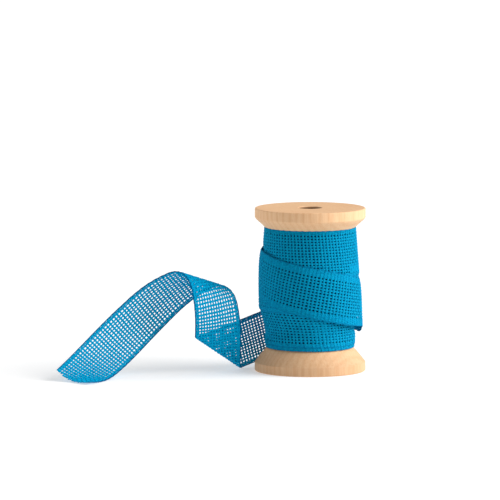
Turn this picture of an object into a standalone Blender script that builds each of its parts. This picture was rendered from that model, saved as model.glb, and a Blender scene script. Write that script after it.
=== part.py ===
"""A roll of cotton ribbon on a turned wooden spool, with its loose end curling on the table.

Run with blender --background --python part.py, or from the text editor. Sizes are in metres,
+Z is up and the spool and the loose end stand on z = 0.
"""
import math

import bmesh
import bpy
import numpy as np

MM = 0.001

# The spool: one turned piece of pale beech with a through bore.
SPOOL_AXIS = (40.76 * MM, 11.11 * MM)
SPOOL_HEIGHT = 68.0 * MM
FLANGE_RADIUS = 23.0 * MM
BORE_RADIUS = 4.5 * MM
BARREL_RADIUS = 13.0 * MM
RIM_ROUND = 0.5 * MM
BASE_RIM_HEIGHT = 3.7 * MM
TOP_RIM_HEIGHT = 4.4 * MM
BASE_SHOULDER = (18.4 * MM, 9.2 * MM)
TOP_SHOULDER = (19.3 * MM, 60.5 * MM)
BASE_BARREL_START = 14.2 * MM
TOP_BARREL_END = 54.2 * MM
BASE_FLARE_BULGE = 0.1 * MM
SPOOL_SIDES = 56

# The ribbon, and the roll that it makes.
RIBBON_WIDTH = 19.5 * MM
RIBBON_THICKNESS = 1.0 * MM
CLEARANCE = 0.3 * MM
EDGE_STEP = 0.35 * MM
ROLL_COLUMN_DEG = 5.0
TURN_EDGE_Z = 25.8 * MM
LOWER_TURN_RADIUS = 19.1 * MM
MIDDLE_TURN_RADIUS = 21.1 * MM
MIDDLE_TURN_TOP = 41.0 * MM
UPPER_TURN_TOP_RADIUS = 19.5 * MM
OUTER_BAND_RADIUS = 21.8 * MM
OUTER_BAND_START_DEG = -150.0
OUTER_BAND_FULL_DEG = -40.0
OUTER_BAND_END_DEG = 195.0
OUTER_BAND_CHANGE_DEG = 35.0
OUTER_BAND_TOP_AT_LEFT = 51.6 * MM
OUTER_BAND_TOP_DROP_PER_DEG = 0.0720 * MM
OUTER_BAND_FOOT_AT_LEFT = 31.1 * MM
OUTER_BAND_FOOT_DROP_PER_DEG = 0.0775 * MM

# Rows of the roll's skin between its edges, from the base up.
ROWS_BELOW_EDGE = 6
ROWS_BETWEEN_EDGES = 3
ROWS_ON_BAND = 8
ROWS_ABOVE_BAND = 7

# The loose end. It leaves the roll behind the spool, and the anchor is a point on its middle line
# where it clears the base flange. From there each bend rolls the flat ribbon about a straight line:
# how far along the ribbon the line crosses the middle, how far the line slants from straight
# across, how much the ribbon turns, and over what distance.
ANCHOR = (-18.0 * MM, 16.9 * MM, 13.4 * MM)
HEADING = (-0.718, -0.658, -0.210)
UPRIGHT = (-0.210, -0.060, 0.972)
BENDS_AHEAD = (
    # along mm, slant deg, turn deg, spread mm
    (29.5, 46.0, 131.0, 5.0),     # sharp fold on the table
    (49.0, 29.0, 40.0, 14.0),     # easing over as it rises
    (66.5, 29.0, 132.0, 14.3),    # crest
    (85.0, 35.0, 41.0, 15.0),     # long open curl down to the left
    (105.0, 50.0, 26.0, 14.0),
    (126.0, 48.0, 31.0, 14.0),
    (145.5, 46.0, 43.0, 13.0),    # cut end flattening on the table
)
BENDS_BEHIND = (
    (12.0, 14.0, 48.0, 22.0),     # round the back of the roll
    (34.0, 10.0, 60.0, 22.0),
)
# Where the loose end's solid is divided: how far along, step to the next row, slant of the divide.
# The first row is its root behind the roll and the last is its cut end, which is cut aslant.
DIVIDES = (
    # along mm, step mm, slant deg
    (-46.0, 3.5, 0.0),
    (-39.0, 3.8, -12.0),
    (-1.0, 3.5, -12.0),
    (25.5, 0.9, 46.0),
    (33.5, 3.0, 46.0),
    (42.0, 2.8, 29.0),
    (58.5, 1.4, 29.0),
    (75.5, 3.0, 29.0),
    (98.0, 3.0, 50.0),
    (124.0, 1.5, 48.0),
    (149.0, 1.5, -20.0),
)
COLUMNS_ACROSS = 6


def clear_scene():
    for obj in list(bpy.data.objects):
        bpy.data.objects.remove(obj, do_unlink=True)


def material(name, colour, roughness):
    """A plain Principled finish for one sub-part."""
    mat = bpy.data.materials.new(name)
    mat.use_nodes = True
    shader = mat.node_tree.nodes["Principled BSDF"]
    shader.inputs["Base Color"].default_value = (*colour, 1.0)
    shader.inputs["Roughness"].default_value = roughness
    shader.inputs["Metallic"].default_value = 0.0
    return mat


def add_object(name, bm, mat, sharp_deg=35.0):
    """Turn a finished bmesh into the named object, shaded smooth with its edges kept."""
    bmesh.ops.remove_doubles(bm, verts=bm.verts, dist=1e-7)
    bmesh.ops.triangulate(bm, faces=bm.faces)
    bmesh.ops.recalc_face_normals(bm, faces=bm.faces)
    mesh = bpy.data.meshes.new(name)
    bm.to_mesh(mesh)
    bm.free()
    mesh.materials.append(mat)
    mesh.shade_smooth()
    mesh.set_sharp_from_angle(angle=math.radians(sharp_deg))
    obj = bpy.data.objects.new(name, mesh)
    bpy.context.scene.collection.objects.link(obj)
    return obj


def rounded_corner(radius, height, out_sign, up_sign, steps=3):
    """Points of a quarter round at a flange's rim, from its side to its face."""
    points = []
    for i in range(steps + 1):
        turn = 0.5 * math.pi * i / steps
        r = radius - RIM_ROUND + RIM_ROUND * math.cos(turn)
        z = height - up_sign * RIM_ROUND + up_sign * RIM_ROUND * math.sin(turn)
        points.append((out_sign * r, z))
    return points


def bulged_line(start, end, bulge, steps):
    """Points of a shallow arc from start to end, bowed away from the spool's axis."""
    sx, sz = start
    ex, ez = end
    length = math.hypot(ex - sx, ez - sz)
    nx, nz = abs(ez - sz) / length, abs(ex - sx) / length
    points = []
    for i in range(steps + 1):
        t = i / steps
        bow = bulge * 4.0 * t * (1.0 - t)
        points.append((sx + (ex - sx) * t + nx * bow, sz + (ez - sz) * t + nz * bow))
    return points


def spool_profile():
    """The turned outline in (radius, height), from the bore's foot, up the outside, to its top."""
    bore_edge = 0.6 * MM
    points = [(BORE_RADIUS, bore_edge), (BORE_RADIUS + bore_edge, 0.0)]
    points += reversed(rounded_corner(FLANGE_RADIUS, 0.0, 1, -1))
    points += bulged_line((FLANGE_RADIUS, BASE_RIM_HEIGHT), BASE_SHOULDER, BASE_FLARE_BULGE, 5)
    points.append((BARREL_RADIUS, BASE_BARREL_START))
    points.append((BARREL_RADIUS, TOP_BARREL_END))
    points.append(TOP_SHOULDER)
    points.append((FLANGE_RADIUS - RIM_ROUND, SPOOL_HEIGHT - TOP_RIM_HEIGHT - 0.4 * RIM_ROUND))
    points.append((FLANGE_RADIUS, SPOOL_HEIGHT - TOP_RIM_HEIGHT + RIM_ROUND))
    points += rounded_corner(FLANGE_RADIUS, SPOOL_HEIGHT, 1, 1)
    points += [(BORE_RADIUS + bore_edge, SPOOL_HEIGHT), (BORE_RADIUS, SPOOL_HEIGHT - bore_edge)]
    return points


def build_spool():
    bm = bmesh.new()
    ax, ay = SPOOL_AXIS
    ring = [bm.verts.new((ax + r, ay, z)) for r, z in spool_profile()]
    edges = [bm.edges.new((ring[i - 1], ring[i])) for i in range(len(ring))]
    bmesh.ops.spin(
        bm,
        geom=ring + edges,
        cent=(ax, ay, 0.0),
        axis=(0.0, 0.0, 1.0),
        angle=2.0 * math.pi,
        steps=SPOOL_SIDES,
        use_merge=True,
    )
    return add_object("spool", bm, material("turned_beech", (0.78, 0.60, 0.42), 0.55))


def outer_band_heights(deg):
    """Heights of the outer band's lower and upper edges, counted from the roll's left side."""
    top = OUTER_BAND_TOP_AT_LEFT - OUTER_BAND_TOP_DROP_PER_DEG * deg
    foot = OUTER_BAND_FOOT_AT_LEFT - OUTER_BAND_FOOT_DROP_PER_DEG * deg
    return foot, min(top, TOP_SHOULDER[1] - 2.0 * CLEARANCE - EDGE_STEP)


def smooth(t):
    t = min(max(t, 0.0), 1.0)
    return t * t * (3.0 - 2.0 * t)


def under_radius(z):
    """Radius of the turns under the outer band."""
    if z < TURN_EDGE_Z:
        return LOWER_TURN_RADIUS
    if z < MIDDLE_TURN_TOP:
        return MIDDLE_TURN_RADIUS
    climb = (z - MIDDLE_TURN_TOP) / (TOP_SHOULDER[1] - MIDDLE_TURN_TOP)
    return MIDDLE_TURN_RADIUS + (UPPER_TURN_TOP_RADIUS - MIDDLE_TURN_RADIUS) * climb


def band_pass(deg):
    """The pass of the outer band that covers this side of the roll, or None where none does."""
    if deg <= OUTER_BAND_END_DEG:
        return deg
    if deg - 360.0 >= OUTER_BAND_START_DEG:
        return deg - 360.0
    return None


def roll_radius(deg, z):
    """Radius of the roll's skin at a side, in degrees from its left, and a height."""
    radius = under_radius(z)
    turn = band_pass(deg)
    if turn is None:
        return radius
    foot, top = outer_band_heights(turn)
    if not foot <= z <= top:
        return radius
    rise = (turn - OUTER_BAND_START_DEG) / (OUTER_BAND_FULL_DEG - OUTER_BAND_START_DEG)
    return radius + (OUTER_BAND_RADIUS - radius) * smooth(rise)


def band_edges(deg):
    """Heights of the outer band's lower and upper edges, blended where one pass ends."""
    first_pass = OUTER_BAND_END_DEG
    second_pass = OUTER_BAND_END_DEG + OUTER_BAND_CHANGE_DEG
    if deg <= first_pass:
        return outer_band_heights(deg)
    if deg >= second_pass:
        return outer_band_heights(deg - 360.0)
    share = (deg - first_pass) / (second_pass - first_pass)
    here = outer_band_heights(first_pass)
    there = outer_band_heights(second_pass - 360.0)
    return tuple(a + (b - a) * share for a, b in zip(here, there))


def roll_heights(deg):
    """Heights of the skin's rows on one side, each edge a pair of rows a small step apart."""
    bottom = BASE_SHOULDER[1] + 1.5 * CLEARANCE
    ceiling = TOP_SHOULDER[1] - 1.5 * CLEARANCE
    low, high = band_edges(deg)
    first = min(low, TURN_EDGE_Z)
    second = max(low, TURN_EDGE_Z, first + 3.0 * EDGE_STEP)
    half = 0.5 * EDGE_STEP
    spans = (
        (bottom, first - half, ROWS_BELOW_EDGE),
        (first + half, second - half, ROWS_BETWEEN_EDGES),
        (second + half, high - half, ROWS_ON_BAND),
        (high + half, ceiling, ROWS_ABOVE_BAND),
    )
    rows = []
    for low_end, high_end, count in spans:
        rows += [low_end + (high_end - low_end) * i / (count - 1) for i in range(count)]
    return rows


def roll_columns():
    """Sides at which the roll's skin has a column, with a pair where the outer band is cut."""
    degrees = list(np.arange(0.0, 360.0, ROLL_COLUMN_DEG))
    degrees.remove(OUTER_BAND_END_DEG)
    degrees += [OUTER_BAND_END_DEG - 0.5, OUTER_BAND_END_DEG + 0.5]
    return sorted(degrees)


def build_roll():
    """The wound ribbon: one closed ring round the barrel with its turns' edges as steps."""
    bm = bmesh.new()
    ax, ay = SPOOL_AXIS
    inner = BARREL_RADIUS + CLEARANCE
    foot = BASE_BARREL_START + 1.5 * CLEARANCE
    head = TOP_BARREL_END - 1.5 * CLEARANCE
    columns = []
    for deg in roll_columns():
        around = math.radians(180.0 + deg)
        outline = [(inner, foot)]
        outline += [(roll_radius(deg, z), z) for z in roll_heights(deg)]
        outline.append((inner, head))
        columns.append([bm.verts.new((ax + r * math.cos(around), ay + r * math.sin(around), z))
                        for r, z in outline])
    for here, there in zip(columns, columns[1:] + columns[:1]):
        for i in range(len(here)):
            bm.faces.new((here[i - 1], there[i - 1], there[i], here[i]))
    return add_object("ribbon_winding", bm, material("blue_cotton_wound", (0.0, 0.30, 0.50), 0.85))


def unit(vector):
    vector = np.array(vector, dtype=float)
    return vector / np.linalg.norm(vector)


def bend_sheet(points, flat, bend):
    """Roll everything beyond a slanted line about that line. Points are (along, across, height)."""
    along, slant, turn, spread = bend
    along *= MM
    spread *= MM
    slant = math.radians(slant)
    turn = math.radians(turn)
    radius = spread / turn
    forward = np.array((math.cos(slant), -math.sin(slant)))
    sideways = np.array((math.sin(slant), math.cos(slant)))
    centre = np.array((along, 0.0))
    flat_reach = (flat - centre) @ forward + 0.5 * spread
    reach = (points[:, :2] - centre) @ forward + 0.5 * spread
    side = (points[:, :2] - centre) @ sideways
    height = points[:, 2]
    used = np.clip(flat_reach, 0.0, spread)
    angle = used / radius
    past = reach - used
    curled_reach = (radius + height) * np.sin(angle) + past * np.cos(angle)
    curled_height = (radius + height) * np.cos(angle) - radius - past * np.sin(angle)
    before = flat_reach <= 0.0
    new_reach = np.where(before, reach, curled_reach) - 0.5 * spread
    new_height = np.where(before, height, curled_height)
    result = np.empty_like(points)
    result[:, :2] = centre + np.outer(new_reach, forward) + np.outer(side, sideways)
    result[:, 2] = new_height
    return result


def place_sheet(points):
    """Bend flat points of the ribbon (along, across, height) and set them in the model."""
    points = np.array(points, dtype=float)
    flat = points[:, :2].copy()
    ahead = points.copy()
    for bend in reversed(BENDS_AHEAD):
        ahead = bend_sheet(ahead, flat, bend)
    mirror = np.array((-1.0, 1.0, 1.0))
    behind = points * mirror
    for bend in reversed(BENDS_BEHIND):
        behind = bend_sheet(behind, flat * mirror[:2], bend)
    behind = behind * mirror
    is_ahead = (flat[:, 0] >= 0.0)[:, None]
    bent = np.where(is_ahead, ahead, behind)
    heading = unit(HEADING)
    across = unit(np.array(UPRIGHT) - heading * np.dot(UPRIGHT, heading))
    outward = np.cross(heading, across)
    origin = np.array(ANCHOR) + np.array((*SPOOL_AXIS, 0.0))
    placed = origin + bent @ np.array((heading, across, outward))
    placed[:, 2] = np.maximum(placed[:, 2], 0.0)
    return placed


def divide_rows():
    """How far along each divide of the loose end crosses its middle, and the tangent of its slant."""
    rows = []
    for (start, step, slant), (end, _, next_slant) in zip(DIVIDES, DIVIDES[1:]):
        count = max(1, round((end - start) / step))
        tan_here = math.tan(math.radians(slant))
        tan_next = math.tan(math.radians(next_slant))
        for i in range(count):
            share = i / count
            rows.append(((start + (end - start) * share) * MM, tan_here + (tan_next - tan_here) * share))
    end, _, slant = DIVIDES[-1]
    rows.append((end * MM, math.tan(math.radians(slant))))
    return rows


def build_loose_end():
    """The loose end as one curled sheet, with rows along it and columns across it."""
    bm = bmesh.new()
    half_width = 0.5 * RIBBON_WIDTH
    half_thick = 0.5 * RIBBON_THICKNESS
    across = np.linspace(-half_width, half_width, COLUMNS_ACROSS + 1)
    rows = []
    for along, slant in divide_rows():
        outer = [(along + w * slant, w, half_thick) for w in across]
        inner = [(along + w * slant, w, -half_thick) for w in reversed(across)]
        rows.append([bm.verts.new(p) for p in place_sheet(outer + inner)])
    for here, there in zip(rows, rows[1:]):
        for i in range(len(here)):
            bm.faces.new((here[i - 1], there[i - 1], there[i], here[i]))
    last = len(rows[0]) - 1
    for row, flip in ((rows[0], False), (rows[-1], True)):
        for i in range(COLUMNS_ACROSS):
            cell = (row[i], row[i + 1], row[last - i - 1], row[last - i])
            bm.faces.new(cell[::-1] if flip else cell)
    return add_object("ribbon_tail", bm, material("blue_cotton_loose", (0.0, 0.33, 0.55), 0.85), 60.0)


def main():
    clear_scene()
    build_spool()
    build_roll()
    build_loose_end()


main()
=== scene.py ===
# %% [markdown]
# # A roll of cotton ribbon on a wooden spool
#
# The ribbon is an open plain weave: thick weft yarns run across it, thin warp yarns run along it, and a
# few warps close together make a firm selvedge at each edge. It is wound on a turned beech spool, and
# its loose end folds on the table, rises over a crest and curls down again.
#
# Every yarn here is a real tube. All of them are laid out flat first, in ribbon coordinates (along,
# across, height), and then bent into place by the same short table of folds that shapes the solid.

# %% Frame and tools
import math

import bmesh
import bpy
import numpy as np
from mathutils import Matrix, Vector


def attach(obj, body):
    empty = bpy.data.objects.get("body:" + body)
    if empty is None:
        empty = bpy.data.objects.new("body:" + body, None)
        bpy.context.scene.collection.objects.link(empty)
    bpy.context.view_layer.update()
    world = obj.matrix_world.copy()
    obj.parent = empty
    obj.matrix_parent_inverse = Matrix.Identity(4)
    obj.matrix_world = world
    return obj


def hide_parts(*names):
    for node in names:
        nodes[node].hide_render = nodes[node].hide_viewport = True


MM = 0.001
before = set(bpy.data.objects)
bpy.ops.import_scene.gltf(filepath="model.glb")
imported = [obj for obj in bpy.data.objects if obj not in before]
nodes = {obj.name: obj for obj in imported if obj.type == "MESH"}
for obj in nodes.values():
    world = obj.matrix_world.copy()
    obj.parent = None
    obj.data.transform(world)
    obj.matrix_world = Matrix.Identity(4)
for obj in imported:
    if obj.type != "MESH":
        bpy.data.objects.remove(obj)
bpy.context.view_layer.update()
print("frame:", sorted(nodes))

# %% [markdown]
# ## Shader arithmetic
#
# The finishes are worked out by sums on sockets. A small class wraps a socket and turns Python's own
# operators into Math nodes, so that a pattern reads like the formula it is. Every node is made by one
# helper, from its type, its settings and its inputs.


# %% Socket arithmetic
def add_node(tree, kind, settings, inputs):
    """Any node, from its type, its settings and the numbers, colours or links of its inputs."""
    node = tree.nodes.new("ShaderNode" + kind)
    for name, item in settings.items():
        setattr(node, name, item)
    for name, item in inputs.items():
        plug(tree, node.inputs[name], item)
    return node


class Value:
    """A number socket in a material, with arithmetic."""

    def __init__(self, tree, socket):
        self.tree = tree
        self.socket = socket

    def math(self, operation, *others):
        terms = dict(enumerate((self, *others)))
        return Value(self.tree, add_node(self.tree, "Math", {"operation": operation}, terms).outputs[0])

    def __add__(self, other):
        return self.math("ADD", other)

    __radd__ = __add__

    def __mul__(self, other):
        return self.math("MULTIPLY", other)

    __rmul__ = __mul__

    def __sub__(self, other):
        return self.math("SUBTRACT", other)

    def __rsub__(self, other):
        return (self * -1.0) + other

    def __pow__(self, other):
        return self.math("POWER", other)

    def sin(self):
        return self.math("SINE")

    def abs(self):
        return self.math("ABSOLUTE")

    def ramp(self, low, high):
        """0 below low, 1 above high, eased between."""
        limits = {"Value": self, "From Min": low, "From Max": high}
        node = add_node(self.tree, "MapRange", {"interpolation_type": "SMOOTHSTEP"}, limits)
        return Value(self.tree, node.outputs["Result"])


def plug(tree, place, item):
    """Put a number, a colour, a socket or a Value into an input."""
    if isinstance(item, Value):
        tree.links.new(item.socket, place)
    elif isinstance(item, bpy.types.NodeSocket):
        tree.links.new(item, place)
    else:
        place.default_value = item


# %% [markdown]
# A finish is one Principled material under construction. `place` gives each point's own place, `layer` a
# layer that the piece carries, `noise` a random pattern, and `mix` blends two colours.


# %% Finish
class Finish:
    """A Principled material under construction."""

    def __init__(self, name, **constants):
        self.material = bpy.data.materials.new(name)
        self.material.use_nodes = True
        self.tree = self.material.node_tree
        self.shader = self.tree.nodes["Principled BSDF"]
        self.set(**constants)

    def set(self, **inputs):
        for name, item in inputs.items():
            plug(self.tree, self.shader.inputs[name.replace("_", " ")], item)

    def node(self, kind, settings=None, inputs=None):
        return add_node(self.tree, kind, settings or {}, inputs or {})

    def value(self, socket):
        return Value(self.tree, socket)

    def place(self):
        """Object coordinates as a vector in millimetres and its three parts."""
        where = self.node("TexCoord").outputs["Object"]
        scaled = self.node("VectorMath", {"operation": "SCALE"}, {0: where, "Scale": 1.0 / MM}).outputs[0]
        parts = self.node("SeparateXYZ", inputs={0: scaled}).outputs
        return scaled, [self.value(part) for part in parts]

    def layer(self, name):
        """The three parts of one of the piece's own vector layers."""
        where = self.node("Attribute", {"attribute_name": name}).outputs["Vector"]
        parts = self.node("SeparateXYZ", inputs={0: where}).outputs
        return [self.value(part) for part in parts]

    def noise(self, vector, scale, detail=2.0, stretch=(1.0, 1.0, 1.0)):
        pulled = self.node("VectorMath", {"operation": "MULTIPLY"}, {0: vector, 1: stretch}).outputs[0]
        made = self.node("TexNoise", inputs={"Vector": pulled, "Scale": scale, "Detail": detail})
        return self.value(made.outputs["Fac"])

    def mix(self, factor, low, high):
        """One colour below, another above, and a blend between."""
        return self.node("Mix", {"data_type": "RGBA"}, {0: factor, 6: low, 7: high}).outputs[2]

    def bump(self, height, distance, strength):
        node = self.node("Bump", inputs={"Height": height, "Distance": distance, "Strength": strength})
        self.set(Normal=node.outputs[0])


# %% [markdown]
# ## Beech
#
# The spool is turned with the tree's grain along its axis. On the sides the fibres show as faint upright
# streaks with short darker flecks, and on the flat faces the year rings cross as wide arcs, because the
# blank was cut well away from the tree's heart. The inside of the drilled bore is painted dark brown as a
# painted shade, and the wood near the foot gets a painted shade that darkens towards the bottom.
#
# A picture of wood could be wrapped round the spool, but it would be wrong on the end faces. A pattern
# worked out from each point's place runs right through the solid, as real grain does.

# %% Wood finish
BEECH_LIGHT = (0.86, 0.56, 0.325, 1.0)
BEECH_DEEP = (0.70, 0.35, 0.16, 1.0)
# A painted shade colour, used inside the bore and near the foot.
SHADE_BROWN = (0.20, 0.095, 0.04, 1.0)
SPOOL_AXIS = (40.76, 11.11)
RING_HEART = (-55.0, 70.0)
RING_SPACING = 2.6
BORE_EDGE = (4.6, 5.05)
# The heights over which the painted shade at the foot fades out, and how strong it is.
FOOT_SHADE_HEIGHTS = (1.0, 11.0)
FOOT_SHADE_BY = 0.2

wood = Finish("fine_sanded_beech", Roughness=0.6, Specular_IOR_Level=0.2)
spot, (x, y, z) = wood.place()
wander = wood.noise(spot, 0.05, 1.0) * 5.0
heart = ((x - RING_HEART[0]) ** 2.0 + (y - RING_HEART[1]) ** 2.0) ** 0.5 + wander
rings = ((heart * (2.0 * math.pi / RING_SPACING)).sin() + 1.0) * 0.5
fibres = wood.noise(spot, 1.6, 3.0, (1.0, 1.0, 0.06))
flecks = wood.noise(spot, 2.2, 1.0, (1.0, 1.0, 0.22)).ramp(0.62, 0.74)
cloudy = wood.noise(spot, 0.06, 2.0)
depth = rings ** 2.0 * 0.20 + fibres.ramp(0.35, 0.75) * 0.30 + flecks * 0.22 + cloudy.ramp(0.3, 0.8) * 0.22
sanded = wood.mix(depth, BEECH_LIGHT, BEECH_DEEP)
from_axis = ((x - SPOOL_AXIS[0]) ** 2.0 + (y - SPOOL_AXIS[1]) ** 2.0) ** 0.5
# Painted shade: near the foot the wood is mixed towards dark brown, more so towards the bottom.
foot_shaded = wood.mix((1.0 - z.ramp(*FOOT_SHADE_HEIGHTS)) * FOOT_SHADE_BY, sanded, SHADE_BROWN)
# Painted shade: inside the bore the wood is painted dark brown.
bore_shade = 1.0 - from_axis.ramp(*BORE_EDGE)
wood.set(Base_Color=wood.mix(bore_shade, foot_shaded, SHADE_BROWN))
wood.bump(fibres, 0.00006, 0.5)
nodes["spool"].data.materials.clear()
nodes["spool"].data.materials.append(wood.material)
print("spool finish:", wood.material.name)

# %% [markdown]
# ## Blue cotton
#
# The yarn is soft spun cotton, dyed turquoise blue, with two plies twisted together. The twist is a bump
# that winds round each tube. The colour drifts a little along the yarn, and the outermost warps are
# painted darker, a painted shade line along each edge. The loose end is lit from both sides, so its copy
# of the finish carries painted light, and the same yarn has a lighter and a darker finish. The layer
# `cloth` holds each point's place in the flat ribbon, and `UVMap` its place round the yarn.

# %% Yarn finish
RIBBON_HALF = 9.75
YARN_BLUE = (0.0, 0.310, 0.53, 1.0)
YARN_DEEP = (0.0, 0.21, 0.42, 1.0)
# Painted shade: deep navy for a shade line along the ribbon's edges.
EDGE_SHADE_BLUE = (0.0, 0.055, 0.19, 1.0)
OUTERMOST = (RIBBON_HALF - 0.5, RIBBON_HALF - 0.35)
TWIST_PER_MM = 0.9


def yarn_finish(name, edge_shade, painted_lift):
    """Blue cotton yarn, with a painted shade line on its outermost warps and painted light that lifts its
    colour.
    """
    yarn = Finish(name, Roughness=0.9, Specular_IOR_Level=0.05)
    spot, _ = yarn.place()
    along_cloth, across_cloth, _ = yarn.layer("cloth")
    round_yarn, _, _ = yarn.layer("UVMap")
    twist = (((along_cloth + across_cloth) * TWIST_PER_MM + round_yarn) * (2.0 * math.pi)).sin()
    mottle = yarn.noise(spot, 0.9, 3.0)
    # Painted light: the yarn colours are scaled up by a factor, for the loose end's lighter copy.
    light, deep = [tuple(part * painted_lift for part in colour[:3]) + (1.0,) for colour in (YARN_BLUE, YARN_DEEP)]
    body = yarn.mix(mottle.ramp(0.35, 0.8) * 0.8, light, deep)
    # Painted shade: the outermost warps are mixed towards deep navy.
    outermost = across_cloth.abs().ramp(*OUTERMOST)
    yarn.set(Base_Color=yarn.mix(outermost * edge_shade, body, EDGE_SHADE_BLUE))
    yarn.bump(twist * 0.5 + yarn.noise(spot, 6.0, 2.0), 0.00005, 0.6)
    print("yarn finish:", yarn.material.name)
    return yarn.material


# The loose end's copy is 22% lighter, as painted light, since it is lit from both sides. Both copies paint a
# shade line on the edges.
loose_blue = yarn_finish("blue_cotton_loose_yarn", 0.85, 1.22)
wound_blue = yarn_finish("blue_cotton_wound_yarn", 0.40, 1.0)

# %% [markdown]
# ## Folding a flat ribbon
#
# Cloth hardly stretches, so a curl can be built from bends about straight lines. Each row of the table
# rolls everything beyond a slanted line about that line. Applied from the far end back, the rows give
# the shape of the whole loose end, and lengths along the ribbon stay true. A cloth simulation could
# find folds too, but it wouldn't stop at the ones that are wanted here.

# %% The fold table
ANCHOR = (-18.0, 16.9, 13.4)
HEADING = (-0.718, -0.658, -0.210)
UPRIGHT = (-0.210, -0.060, 0.972)
BENDS_AHEAD = (
    # along mm, slant deg, turn deg, spread mm
    (29.5, 46.0, 131.0, 5.0),
    (49.0, 29.0, 40.0, 14.0),
    (66.5, 29.0, 132.0, 14.3),
    (85.0, 35.0, 41.0, 15.0),
    (105.0, 50.0, 26.0, 14.0),
    (126.0, 48.0, 31.0, 14.0),
    (145.5, 46.0, 43.0, 13.0),
)
BENDS_BEHIND = (
    (12.0, 14.0, 48.0, 22.0),
    (34.0, 10.0, 60.0, 22.0),
)


def unit(vector):
    vector = np.array(vector, dtype=float)
    return vector / np.linalg.norm(vector)


def bend_sheet(points, flat, bend):
    """Roll everything beyond a slanted line about that line."""
    along, slant, turn, spread = bend
    slant = math.radians(slant)
    turn = math.radians(turn)
    radius = spread / turn
    forward = np.array((math.cos(slant), -math.sin(slant)))
    sideways = np.array((math.sin(slant), math.cos(slant)))
    centre = np.array((along, 0.0))
    flat_reach = (flat - centre) @ forward + 0.5 * spread
    reach = (points[:, :2] - centre) @ forward + 0.5 * spread
    side = (points[:, :2] - centre) @ sideways
    height = points[:, 2]
    used = np.clip(flat_reach, 0.0, spread)
    angle = used / radius
    past = reach - used
    curled_reach = (radius + height) * np.sin(angle) + past * np.cos(angle)
    curled_height = (radius + height) * np.cos(angle) - radius - past * np.sin(angle)
    before = flat_reach <= 0.0
    result = np.empty_like(points)
    new_reach = np.where(before, reach, curled_reach) - 0.5 * spread
    result[:, :2] = centre + np.outer(new_reach, forward) + np.outer(side, sideways)
    result[:, 2] = np.where(before, height, curled_height)
    return result


def loose(points):
    """Bend flat ribbon points (along, across, height), in mm, into the loose end's shape."""
    flat = points[:, :2].copy()
    ahead = points.copy()
    for bend in reversed(BENDS_AHEAD):
        ahead = bend_sheet(ahead, flat, bend)
    mirror = np.array((-1.0, 1.0, 1.0))
    behind = points * mirror
    for bend in reversed(BENDS_BEHIND):
        behind = bend_sheet(behind, flat * mirror[:2], bend)
    bent = np.where((flat[:, 0] >= 0.0)[:, None], ahead, behind * mirror)
    heading = unit(HEADING)
    across = unit(np.array(UPRIGHT) - heading * np.dot(UPRIGHT, heading))
    outward = np.cross(heading, across)
    origin = np.array(ANCHOR) + np.array((*SPOOL_AXIS, 0.0))
    return origin + bent @ np.array((heading, across, outward))


print("bends:", len(BENDS_AHEAD) + len(BENDS_BEHIND))

# %% [markdown]
# ## The outer turns
#
# Followed back from its loose end, the ribbon passes once round the spool as a slanting outer band, and
# before that once round under the top flange. Both are the same stretch of ribbon, so one function
# places them: the angle round the spool comes from the distance along the ribbon, and the heights of the
# two edges come from the angle, counted in degrees from the spool's left side.

# %% Measures of the outer turns
ROOT = -46.0
ROOT_DEG = 210.0
ROOT_EASES = (-62.0, 24.0)
BAND_RADIUS = 21.6
CLOTH_HALF = 0.45
MM_PER_DEG = BAND_RADIUS * math.pi / 180.0
# The band's edges: height in mm at the left side, and the drop for each degree further on.
BAND_TOP = (51.6, 0.0720)
BAND_FOOT = (31.1, 0.0775)
UPPER_TOP = 60.2
UPPER_FOOT = 40.2
EASE = 6.0
# How far the wefts lean, as a share of the way across.
UPPER_LEAN = -0.10
BAND_LEAN = 0.19
UPPER_RADIUS = 20.65
UPPER_TAPER = 1.45
# Where a change begins and over what length, in degrees round the roll.
BAND_BEGINS = (-150.0, 70.0)
UPPER_UNCOVERED = (-190.0, 20.0)
START_TUCKED = (-510.0, 70.0)
EDGE_LIFTS = (130.0, 50.0)
EDGE_SAGS = (182.0, 24.0)
# The same for heights, and then how large the changes are, in mm.
TAPER_HEIGHTS = (41.0, 19.4)
TUCK = 0.9
HUG = 0.95
HUG_POWER = 5
LIFT = 0.9
SAG = 6.0
TOP_DIP = 1.3
TOP_DIP_DEG = -14.0
TOP_DIP_SPREAD_DEG = 20.0
print("one turn of the band takes", round(360.0 * MM_PER_DEG, 1), "mm of ribbon")

# %% [markdown]
# A real roll isn't a smooth barrel. The band squeezes the soft turns beneath it, and a shallow groove
# runs along its edges, which is why a shadow line shows beside them.

# %% Measures of the turns below
PRESS = 1.8
PRESS_FROM_EDGE = (0.5, 1.2)
GROOVE = 0.5
GROOVE_WIDTH = 0.9
TOP_GROOVE_FADES = (20.0, 60.0)
TOP_GROOVE_FADES_BY = 0.7
FOOT_GROOVE_GROWS = (60.0, 50.0)
BAND_BEHIND_DEG = 165.0
# The roll swells above the lower turn, and its turns are tucked in below the upper one.
SWELL = 2.2
SWELL_HEIGHTS = (17.5, 10.0)
TUCK_BELOW_UPPER = 1.1
TUCK_HEIGHTS = (36.0, 3.5)
print("the band presses", PRESS, "mm into the turns below, and the roll swells by", SWELL, "mm")

# %% [markdown]
# A few helpers turn these measures into heights and angles. Every change is eased, since cloth under a
# little tension has no corners.


# %% Heights and angles
def smooth(t):
    t = np.clip(t, 0.0, 1.0)
    return t * t * (3.0 - 2.0 * t)


def eased(value, span):
    """0 before the span's start, 1 past its length, and smooth between."""
    start, length = span
    return smooth((value - start) / length)


def soft_least(a, b, ease):
    """The smaller of two heights, rounded where they cross."""
    gap = np.clip(0.5 + 0.5 * (b - a) / ease, 0.0, 1.0)
    return b + (a - b) * gap - ease * gap * (1.0 - gap) * 0.25


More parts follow.
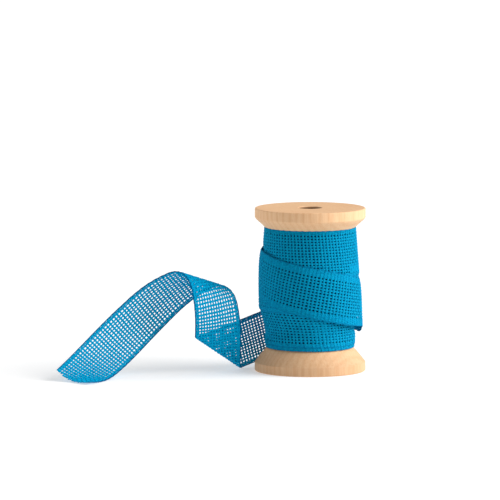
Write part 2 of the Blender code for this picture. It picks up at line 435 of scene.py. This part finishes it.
def edge_height(edge, deg):
    """The height of one of the band's edges at an angle round the roll."""
    at_left, drop = edge
    return at_left - drop * deg


def around_axis(deg, radius, z):
    """Points in mm from their angle, counted from the spool's left side, their radius and height."""
    around = np.radians(180.0 + deg)
    x = SPOOL_AXIS[0] + radius * np.cos(around)
    y = SPOOL_AXIS[1] + radius * np.sin(around)
    return np.stack([x, y, z], 1)


height_at_left = round(float(edge_height(BAND_TOP, 0.0) - edge_height(BAND_FOOT, 0.0)), 1)
print("the band stands", height_at_left, "mm tall at the left side")

# %% [markdown]
# A turn's skin is a radius for each angle and height. The band's top edge hugs the roll, its foot lifts
# a little at the right and sags behind, where the ribbon leaves the roll, and the first end of the upper
# turn is tucked under the ribbon that comes over it.


# %% Placing the outer turns
def under_band(deg, z):
    """How far a turn below is pressed in by the outer band: in a groove at its edges, and under it."""
    side = (deg + BAND_BEHIND_DEG) % 360.0 - BAND_BEHIND_DEG
    from_top = edge_height(BAND_TOP, side) - z
    from_foot = z - edge_height(BAND_FOOT, side)
    covered = eased(np.minimum(from_top, from_foot), PRESS_FROM_EDGE)
    top_groove = np.exp(-((from_top / GROOVE_WIDTH) ** 2))
    top_groove = top_groove * (1.0 - TOP_GROOVE_FADES_BY * eased(side, TOP_GROOVE_FADES))
    foot_groove = np.exp(-((from_foot / GROOVE_WIDTH) ** 2)) * eased(side, FOOT_GROOVE_GROWS)
    return np.maximum(PRESS * covered, GROOVE * np.maximum(top_groove, foot_groove))


def wound(points):
    """Wrap flat ribbon points (along, across, height), in mm, round the roll's outside."""
    along, across, height = points.T
    share = across / (2.0 * RIBBON_HALF) + 0.5
    inside = np.clip(share, 0.0, 1.0)
    deg = ROOT_DEG + (along - ROOT) / MM_PER_DEG
    on_band = eased(deg, BAND_BEGINS)
    deg = deg + (UPPER_LEAN + (BAND_LEAN - UPPER_LEAN) * on_band) * across / MM_PER_DEG
    top = soft_least(edge_height(BAND_TOP, deg), np.full_like(deg, UPPER_TOP), EASE)
    top = top - TOP_DIP * np.exp(-(((deg - TOP_DIP_DEG) / TOP_DIP_SPREAD_DEG) ** 2))
    foot = soft_least(edge_height(BAND_FOOT, deg), np.full_like(deg, UPPER_FOOT), EASE)
    z = foot + (top - foot) * share
    taper_from, taper_length = TAPER_HEIGHTS
    upper = UPPER_RADIUS - UPPER_TAPER * np.clip((z - taper_from) / taper_length, 0.0, 1.0)
    upper = upper - under_band(deg, z) * (1.0 - eased(deg, UPPER_UNCOVERED))
    tucked = TUCK * (1.0 - eased(deg, START_TUCKED))
    hugging = HUG * inside ** HUG_POWER
    sagging = SAG * eased(deg, EDGE_SAGS) - LIFT * eased(deg, EDGE_LIFTS)
    skin = upper - tucked + (BAND_RADIUS - hugging - upper) * on_band
    return around_axis(deg, skin - CLOTH_HALF + height, z - sagging * (1.0 - inside))


def ribbon(points):
    """The whole outer ribbon: wound behind its root, loose ahead of it, eased between."""
    share = eased(points[:, 0], ROOT_EASES)[:, None]
    return wound(points) * (1.0 - share) + loose(points) * share


def level_turn(foot, skin, start_deg, lean):
    """A level turn of the roll below the outer ribbon, from its foot's height and its outer radius."""

    def turn(points):
        along, across, height = points.T
        up = across + RIBBON_HALF
        z = foot + up
        deg = start_deg + np.degrees((along - lean * up * up) / skin)
        swell = SWELL * eased(z, SWELL_HEIGHTS)
        pressed = np.maximum(under_band(deg, z), TUCK_BELOW_UPPER * eased(z, TUCK_HEIGHTS))
        return around_axis(deg, skin + swell - pressed - CLOTH_HALF + height, z)

    return turn


TAIL_END = 149.0
print("outer ribbon reaches", ribbon(np.array([[TAIL_END, 0.0, 0.0]])).round(1), "mm")

# %% [markdown]
# ## Sweeping yarns
#
# Yarn is soft, so in cloth it lies flattened, wider than it is thick. Each yarn is a curve through its
# crossings with an oval outline swept along it, which is how a yarn really fills its path. A point's
# girth says how full the yarn is there, since it is squeezed where many lie close together.

# %% Swept yarns
SIDES = 6
WELD_MM = 1e-4
SHARP_DEG = 70.0


def oval(width, thick):
    """A small flat closed curve, the outline of a soft yarn."""
    outline = bpy.data.curves.new("yarn_outline", "CURVE")
    outline.dimensions = "2D"
    spline = outline.splines.new("POLY")
    spline.points.add(SIDES - 1)
    spline.use_cyclic_u = True
    for number, point in enumerate(spline.points):
        turn = 2.0 * math.pi * (number + 0.5) / SIDES
        point.co = (0.5 * width * math.cos(turn), 0.5 * thick * math.sin(turn), 0.0, 1.0)
    shape = bpy.data.objects.new("yarn_outline", outline)
    bpy.context.scene.collection.objects.link(shape)
    return shape


def swept(lines, width, thick):
    """Sweep an oval along lines of (along, across, height, girth) points and return it as a mesh."""
    outline = oval(width, thick)
    curve = bpy.data.curves.new("yarns", "CURVE")
    curve.dimensions = "3D"
    curve.twist_mode = "Z_UP"
    curve.use_fill_caps = True
    curve.bevel_mode = "OBJECT"
    curve.bevel_object = outline
    for line in lines:
        spline = curve.splines.new("POLY")
        spline.points.add(len(line) - 1)
        spline.points.foreach_set("co", np.c_[line[:, :3], np.ones(len(line))].ravel())
        spline.points.foreach_set("radius", np.ascontiguousarray(line[:, 3]))
    sweep = bpy.data.objects.new("yarns", curve)
    bpy.context.scene.collection.objects.link(sweep)
    bpy.context.view_layer.update()
    mesh = bpy.data.meshes.new_from_object(sweep.evaluated_get(bpy.context.evaluated_depsgraph_get()))
    bpy.data.objects.remove(sweep)
    bpy.data.objects.remove(outline)
    return mesh


def make_cloth(name, meshes, place, material):
    """Weld flat yarns' ends shut, bend them into place and ride the spool with them."""
    bm = bmesh.new()
    for mesh in meshes:
        bm.from_mesh(mesh)
    bmesh.ops.remove_doubles(bm, verts=bm.verts, dist=WELD_MM)
    bmesh.ops.recalc_face_normals(bm, faces=bm.faces)
    mesh = bpy.data.meshes.new(name)
    bm.to_mesh(mesh)
    bm.free()
    flat = np.empty(3 * len(mesh.vertices), dtype=np.float32)
    mesh.vertices.foreach_get("co", flat)
    mesh.attributes.new("cloth", "FLOAT_VECTOR", "POINT").data.foreach_set("vector", flat)
    placed = place(flat.reshape(-1, 3).astype(float)) * MM
    mesh.vertices.foreach_set("co", placed.astype(np.float32).ravel())
    mesh.update()
    mesh.materials.clear()
    mesh.materials.append(material)
    mesh.shade_smooth()
    mesh.set_sharp_from_angle(angle=math.radians(SHARP_DEG))
    piece = bpy.data.objects.new(name, mesh)
    bpy.context.scene.collection.objects.link(piece)
    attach(piece, "root")
    print(name, "triangles:", sum(len(face.vertices) - 2 for face in mesh.polygons))
    return piece


# %% [markdown]
# ## Weaving
#
# A warp runs along the ribbon, over one weft and under the next. The weft is one long yarn that crosses
# the ribbon, turns inside the outermost warp and comes back. Close to each edge the warps lie side by
# side and make the selvedge, and in the middle they stand apart. Where the ribbon is cut aslant, the
# last wefts stop at the cut.
#
# The measures are judged from the cloth where it lies open: the holes are a little longer along the
# ribbon than across it, and the weft is the thicker yarn. Spun cotton isn't quite even, so each yarn
# sways and swells a little.

# %% Measures of the weave
WEFT_PITCH = 1.63
WEFT_WIDTH = 0.96
WEFT_THICK = 0.43
WARP_WIDTH = 0.70
WARP_THICK = 0.40
WAVE = 0.20
SELVEDGE = (0.27, 0.75, 1.20, 1.65)
OPEN_GAPS = 14
CLOSE_GIRTH = 0.68
EDGE_GIRTH = 0.74
# Warps this near the edge, in mm, are stiff: shares of the others' waves and sway.
STIFF_WITHIN = 0.3
STIFF_WAVE = 0.5
STIFF_SWAY = 0.3
# Sway of a yarn from its straight line: mm, radians of a slow wave for each mm, and mm at random.
WARP_SWAY = (0.035, 0.31, 0.015)
WEFT_SWAY = (0.05, 0.8, 0.05)
ANY_PHASE = 6.3
# How full a whole yarn may be, and how full it may be from point to point.
WARP_FULLNESS = ((0.95, 1.08), (0.95, 1.05))
WEFT_FULLNESS = ((0.92, 1.06), (0.96, 1.04))
# How full the weft is near an edge: distances from the edge, and girths there.
SQUEEZE_INSETS = (2.0, 1.4, 0.5)
SQUEEZE_GIRTHS = (1.0, 0.85, 0.7)
# The weft's turns at the edges, in mm: how far in they lie, how far they bulge out and how much
# thinner they are, how far past a free warp they reach, and their least room inside the last warp.
TURN_INSET = 0.42
TURN_BULGE = 0.10
TURN_THINNER = 0.05
TURN_REACH = 0.3
TURN_LEAST = 0.05
CUT_CLEAR = 0.15
SHORTEST_WEFT = 3
FOLD_SPANS = (
    # mm along, spread mm, how much wider
    (36.0, 7.0, 0.25),
    (70.0, 6.0, 0.20),
    (142.0, 8.0, 0.10),
)
OPEN_PITCH = 2.0 * (RIBBON_HALF - SELVEDGE[-1]) / OPEN_GAPS
print("holes mm:", round(OPEN_PITCH - WARP_WIDTH, 2), "by", round(WEFT_PITCH - WEFT_WIDTH, 2))

# %% [markdown]
# The warps are set out first. In the selvedge each is squeezed to about two thirds of its width, so that
# they close up side by side, and the outermost one is stiff and keeps the edge straight.


# %% Warps
def warp_places(filled_low=0, filled_high=0):
    """The warps' places across the ribbon, and how full each is. Filled gaps hold two warps more."""
    inner = RIBBON_HALF - SELVEDGE[-1]
    open_places = np.linspace(-inner, inner, OPEN_GAPS + 1)
    gap = open_places[1] - open_places[0]
    close = [side * (RIBBON_HALF - inset) for side in (-1.0, 1.0) for inset in SELVEDGE]
    for number in range(filled_low):
        close += [open_places[number] + gap / 3.0, open_places[number] + gap / 1.5, open_places[number + 1]]
    for number in range(filled_high):
        start = open_places[-1 - number]
        close += [start - gap / 3.0, start - gap / 1.5, open_places[-2 - number]]
    girths = {round(place, 3): CLOSE_GIRTH for place in close}
    girths.update({round(side * (RIBBON_HALF - SELVEDGE[0]), 3): EDGE_GIRTH for side in (-1.0, 1.0)})
    for place in open_places:
        girths.setdefault(round(place, 3), 1.0)
    return sorted(girths.items())


def flattened(along):
    """How much wider the yarns lie where the loose end is folded or pressed to the table."""
    return 1.0 + sum(more * np.exp(-(((along - place) / spread) ** 2)) for place, spread, more in FOLD_SPANS)


def weave_warps(start, end, warps, tan_cut, rng):
    """The warps as lines of points, each over one weft and under the next."""
    wave, wave_per_mm, chance = WARP_SWAY
    whole, each_point = WARP_FULLNESS
    lines = []
    for number, (across, girth) in enumerate(warps):
        stop = end + across * tan_cut
        along = np.append(np.arange(start, stop - 0.25 * WEFT_PITCH, 0.5 * WEFT_PITCH), stop)
        slow = np.sin(along * wave_per_mm + rng.uniform(0.0, ANY_PHASE))
        sway = wave * slow + rng.normal(0.0, chance, len(along))
        height = -WAVE * (-1.0) ** number * np.cos(math.pi * along / WEFT_PITCH)
        if abs(across) > RIBBON_HALF - STIFF_WITHIN:
            height = height * STIFF_WAVE
            sway = sway * STIFF_SWAY
        fullness = girth * flattened(along) * rng.uniform(*whole) * rng.uniform(*each_point, len(along))
        lines.append(np.stack([along, across + sway * girth, height, fullness], 1))
    return lines


print("warps:", len(warp_places()), "and", len(warp_places(1, 1)), "with both edges doubled")

# %% [markdown]
# The weft is laid through the warps row by row. On a loom the shuttle carries one yarn to and fro, so at
# each edge the row is joined to the next by a small loop, and the two ends of a row never show.


# %% Weft
def weave_weft(start, end, warps, tan_cut, rng):
    """The weft as one long line of points to and fro, and the short wefts that end at a slanted cut."""
    wave, wave_per_mm, chance = WEFT_SWAY
    whole, each_point = WEFT_FULLNESS
    places = np.array([place for place, _ in warps])
    low = max(places[0] - TURN_REACH, TURN_INSET - RIBBON_HALF)
    high = min(places[-1] + TURN_REACH, RIBBON_HALF - TURN_INSET)
    knots = np.r_[low, places, high]
    knots[1] = max(knots[1], low + TURN_LEAST)
    knots[-2] = min(knots[-2], high - TURN_LEAST)
    order = np.arange(0.0, len(knots) - 0.99, 0.5)
    fine = np.interp(order, np.arange(len(knots)), knots)
    insets = RIBBON_HALF - np.array(SQUEEZE_INSETS)
    squeezed = np.interp(np.abs(fine), insets, SQUEEZE_GIRTHS)
    last = (end + abs(tan_cut) * RIBBON_HALF) / WEFT_PITCH
    rows = np.arange(math.ceil(start / WEFT_PITCH), math.floor(last) + 1)
    snake = []
    short = []
    for number, row in enumerate(rows):
        slow = np.sin(fine * wave_per_mm + rng.uniform(0.0, ANY_PHASE))
        sway = wave * slow + rng.normal(0.0, chance)
        along = row * WEFT_PITCH + sway
        height = WAVE * (-1.0) ** row * np.cos(math.pi * (order - 1.0))
        fullness = squeezed * flattened(along) * rng.uniform(*whole) * rng.uniform(*each_point, len(fine))
        line = np.stack([along, fine, height, fullness], 1)
        kept = along < end + fine * tan_cut - CUT_CLEAR
        if not kept.all():
            if kept.sum() > SHORTEST_WEFT:
                short.append(line[kept])
            continue
        forth = number % 2 == 0
        if snake:
            before = snake[-1][-1]
            edge = line[0 if forth else -1]
            out = -TURN_BULGE if forth else TURN_BULGE
            turn = [before + (edge - before) * t for t in (0.25, 0.5, 0.75)]
            snake.append(np.array(turn) * (1, 1, 0, 1) + (0.0, out, 0.0, -TURN_THINNER))
        snake.append(line if forth else line[::-1])
    return [np.concatenate(snake), *short]


def weave(start, end, warps, seed, cut_slant=0.0):
    """The yarns of one stretch of flat ribbon, as two meshes: its warps and its weft."""
    rng = np.random.default_rng(seed)
    tan_cut = math.tan(math.radians(cut_slant))
    warp_lines = weave_warps(start, end, warps, tan_cut, rng)
    weft_lines = weave_weft(start, end, warps, tan_cut, rng)
    return [swept(warp_lines, WARP_WIDTH, WARP_THICK), swept(weft_lines, WEFT_WIDTH, WEFT_THICK)]


# %% [markdown]
# ## The loose end
#
# This is the stretch that the solid sheet stands for: 195 mm of the ribbon, from where it leaves the
# back of the roll to its cut end. It is one sheet of cloth, folded and resting on the table.

# %% Loose end
CUT_SLANT = -20.0


def ribbon_on_table(points):
    placed = ribbon(points)
    placed[:, 2] = np.maximum(placed[:, 2], 0.0)
    return placed


loose_yarns = weave(ROOT, TAIL_END, warp_places(), 11, CUT_SLANT)
loose_end = make_cloth("loose_end", loose_yarns, ribbon_on_table, loose_blue)
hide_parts("ribbon_tail")

# %% [markdown]
# ## The wound turns
#
# The outer band and the turn under the top flange are the same ribbon further back. The turn beneath
# lies a little askew, so along the band's edges a second selvedge closes the first open gaps. Under them
# lie a middle turn, which shows at the left and at the back below the band, a lower turn, and the foot
# of the turn below that, which shows as a thin line above the bottom flange. Only what shows is woven.
# The upper turn goes a little more than once round, so that its first end lies under the next turn.

# %% Wound turns
BAND_DEG = 360.0
UPPER_DEG = 392.0
BAND_START = ROOT - BAND_DEG * MM_PER_DEG
UPPER_START = BAND_START - UPPER_DEG * MM_PER_DEG
wound_pieces = [
    make_cloth("outer_band", weave(BAND_START, ROOT, warp_places(1, 1), 12), ribbon, wound_blue),
    make_cloth("upper_turn", weave(UPPER_START, BAND_START, warp_places(), 13), wound, wound_blue),
]
LEVEL_TURNS = (
    # name, foot mm, skin radius mm, from deg, to deg, mm woven above the foot, lean
    ("middle_turn", 25.8, 19.3, -215.0, 75.0, 19.6, 0.0),
    ("lower_turn", 11.4, 18.95, 0.0, 360.0, 17.0, 0.0145),
    ("foot_turn", 9.9, 18.65, 0.0, 360.0, 2.6, 0.0),
)
for number, (name, foot, skin, from_deg, to_deg, woven, lean) in enumerate(LEVEL_TURNS):
    warps = [warp for warp in warp_places() if warp[0] < woven - RIBBON_HALF]
    yarns = weave(0.0, math.radians(to_deg - from_deg) * skin, warps, 20 + number)
    wound_pieces.append(make_cloth(name, yarns, level_turn(foot, skin, from_deg, lean), wound_blue))
for piece in wound_pieces:
    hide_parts("ribbon_winding")

# %% [markdown]
# ## The turns underneath
#
# Through the open weave the turns underneath show as deep blue, because they lie in shade. Weaving them too
# would cost much and show little, so they are one closed ring just under the outer turns: an outline spun
# once round the spool's axis, with the weave as a pattern of colour and a bump, and that shade painted into
# its colour.

# %% Inner turns
# Painted shade: the same cotton, painted deep navy for the shade inside the roll, and darker still in the
# gaps.
CORE_SHADE_BLUE = (0.0, 0.035, 0.13, 1.0)
CORE_GAP_SHADE = (0.0, 0.012, 0.06, 1.0)
CORE_RADIUS = 18.6
CORE_RAIL_PITCH = 1.14
CORE_STEPS = 96
CORE_SHARP_DEG = 40.0
CORE_OUTLINE = (
    # radius mm, height mm
    (13.3, 14.7),
    (17.4, 10.2),
    (17.9, 10.5),
    (18.15, 26.0),
    (19.9, 27.0),
    (19.5, 41.0),
    (18.6, 59.5),
    (17.8, 59.5),
    (13.3, 53.6),
)

inner = Finish("blue_cotton_inner_turns", Roughness=0.9, Specular_IOR_Level=0.1)
_, (x, y, z) = inner.place()
angle = (y - SPOOL_AXIS[1]).math("ARCTAN2", x - SPOOL_AXIS[0])
ribs = (angle * (CORE_RADIUS * math.pi / WEFT_PITCH)).sin().abs()
rails = (z * (math.pi / CORE_RAIL_PITCH)).sin().abs()
cover = ribs.ramp(0.35, 0.85) * 0.6 + rails.ramp(0.4, 0.9) * 0.5
# Painted shade: the weave pattern mixes the darker gap shade with the navy.
inner.set(Base_Color=inner.mix(cover, CORE_GAP_SHADE, CORE_SHADE_BLUE))
inner.bump(cover, 0.0003, 0.8)

bm = bmesh.new()
ring = [bm.verts.new(((SPOOL_AXIS[0] + r) * MM, SPOOL_AXIS[1] * MM, h * MM)) for r, h in CORE_OUTLINE]
edges = [bm.edges.new((ring[i - 1], ring[i])) for i in range(len(ring))]
centre = (SPOOL_AXIS[0] * MM, SPOOL_AXIS[1] * MM, 0.0)
round_once = {"axis": (0.0, 0.0, 1.0), "angle": 2.0 * math.pi, "steps": CORE_STEPS, "use_merge": True}
bmesh.ops.spin(bm, geom=ring + edges, cent=centre, **round_once)
bmesh.ops.recalc_face_normals(bm, faces=bm.faces)
core_mesh = bpy.data.meshes.new("inner_turns")
bm.to_mesh(core_mesh)
bm.free()
core_mesh.shade_smooth()
core_mesh.set_sharp_from_angle(angle=math.radians(CORE_SHARP_DEG))
core_mesh.materials.append(inner.material)
core = bpy.data.objects.new("inner_turns", core_mesh)
bpy.context.scene.collection.objects.link(core)
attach(core, "root")
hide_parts("ribbon_winding")
print("inner turns:", len(core_mesh.polygons), "faces")

# %% [markdown]
# ## Table
#
# The table is a plain white surface that runs out of sight, and it glows a little, as paper does that is
# lit from all round.

# %% Table
FLOOR_HALF = 9.0
paper = Finish("white_table", Base_Color=(0.66, 0.66, 0.66, 1.0), Roughness=0.7, Specular_IOR_Level=0.05)
paper.set(Emission_Color=(1.0, 1.0, 1.0, 1.0), Emission_Strength=0.42)
bm = bmesh.new()
bmesh.ops.create_grid(bm, x_segments=1, y_segments=1, size=FLOOR_HALF)
floor_mesh = bpy.data.meshes.new("table")
bm.to_mesh(floor_mesh)
bm.free()
floor_mesh.materials.append(paper.material)
floor = bpy.data.objects.new("table", floor_mesh)
bpy.context.scene.collection.objects.link(floor)
print("table metres across:", 2.0 * FLOOR_HALF)

# %% [markdown]
# ## Light
#
# A broad soft light stands to the right and above, a weaker one to the left, and the white surroundings
# fill the rest.

# %% Lights
LIGHTS = (
    # name, direction it comes from, strength, softness deg, colour
    ("key", (0.97, -0.10, 0.56), 4.1, 50.0, (1.0, 1.0, 1.0)),
    ("left", (-0.80, 0.30, 0.45), 1.05, 60.0, (1.0, 1.0, 1.0)),
)
for name, source, strength, softness, colour in LIGHTS:
    lamp = bpy.data.lights.new(name, "SUN")
    lamp.energy = strength
    lamp.angle = math.radians(softness)
    lamp.color = colour
    light = bpy.data.objects.new(name, lamp)
    direction = unit(source)
    light.rotation_mode = "QUATERNION"
    light.rotation_quaternion = Vector(direction).to_track_quat("Z", "Y")
    bpy.context.scene.collection.objects.link(light)
SURROUNDINGS = 0.25
world = bpy.data.worlds.new("surroundings")
world.use_nodes = True
background = world.node_tree.nodes["Background"]
background.inputs["Color"].default_value = (1.0, 1.0, 1.0, 1.0)
background.inputs["Strength"].default_value = SURROUNDINGS
bpy.context.scene.world = world
bpy.context.scene.view_settings.view_transform = "Standard"
print("lights:", [row[0] for row in LIGHTS])

# %% [markdown]
# ## Camera
#
# The camera is a long lens that looks down a little, so the upright spool shows a thin ellipse of its
# top. Its place and lens are fitted to the spool's outline in the photo.

# %% Camera
PIXELS = 500
FOCAL_PIXELS = 6247.0
SENSOR_MM = 36.0
LOOK_DOWN = 6.39
# From the spool's axis on the table, in mm.
STAND = (-24.97, -2578.2, 339.0)
camera_data = bpy.data.cameras.new("camera")
camera_data.sensor_width = SENSOR_MM
camera_data.lens = FOCAL_PIXELS / PIXELS * SENSOR_MM
camera_data.clip_start = 0.1
camera_data.clip_end = 40.0
camera = bpy.data.objects.new("camera", camera_data)
camera.location = ((SPOOL_AXIS[0] + STAND[0]) * MM, (SPOOL_AXIS[1] + STAND[1]) * MM, STAND[2] * MM)
camera.rotation_euler = (math.radians(90.0 - LOOK_DOWN), 0.0, 0.0)
bpy.context.scene.collection.objects.link(camera)
bpy.context.scene.camera = camera
print("lens mm:", round(camera_data.lens, 1))
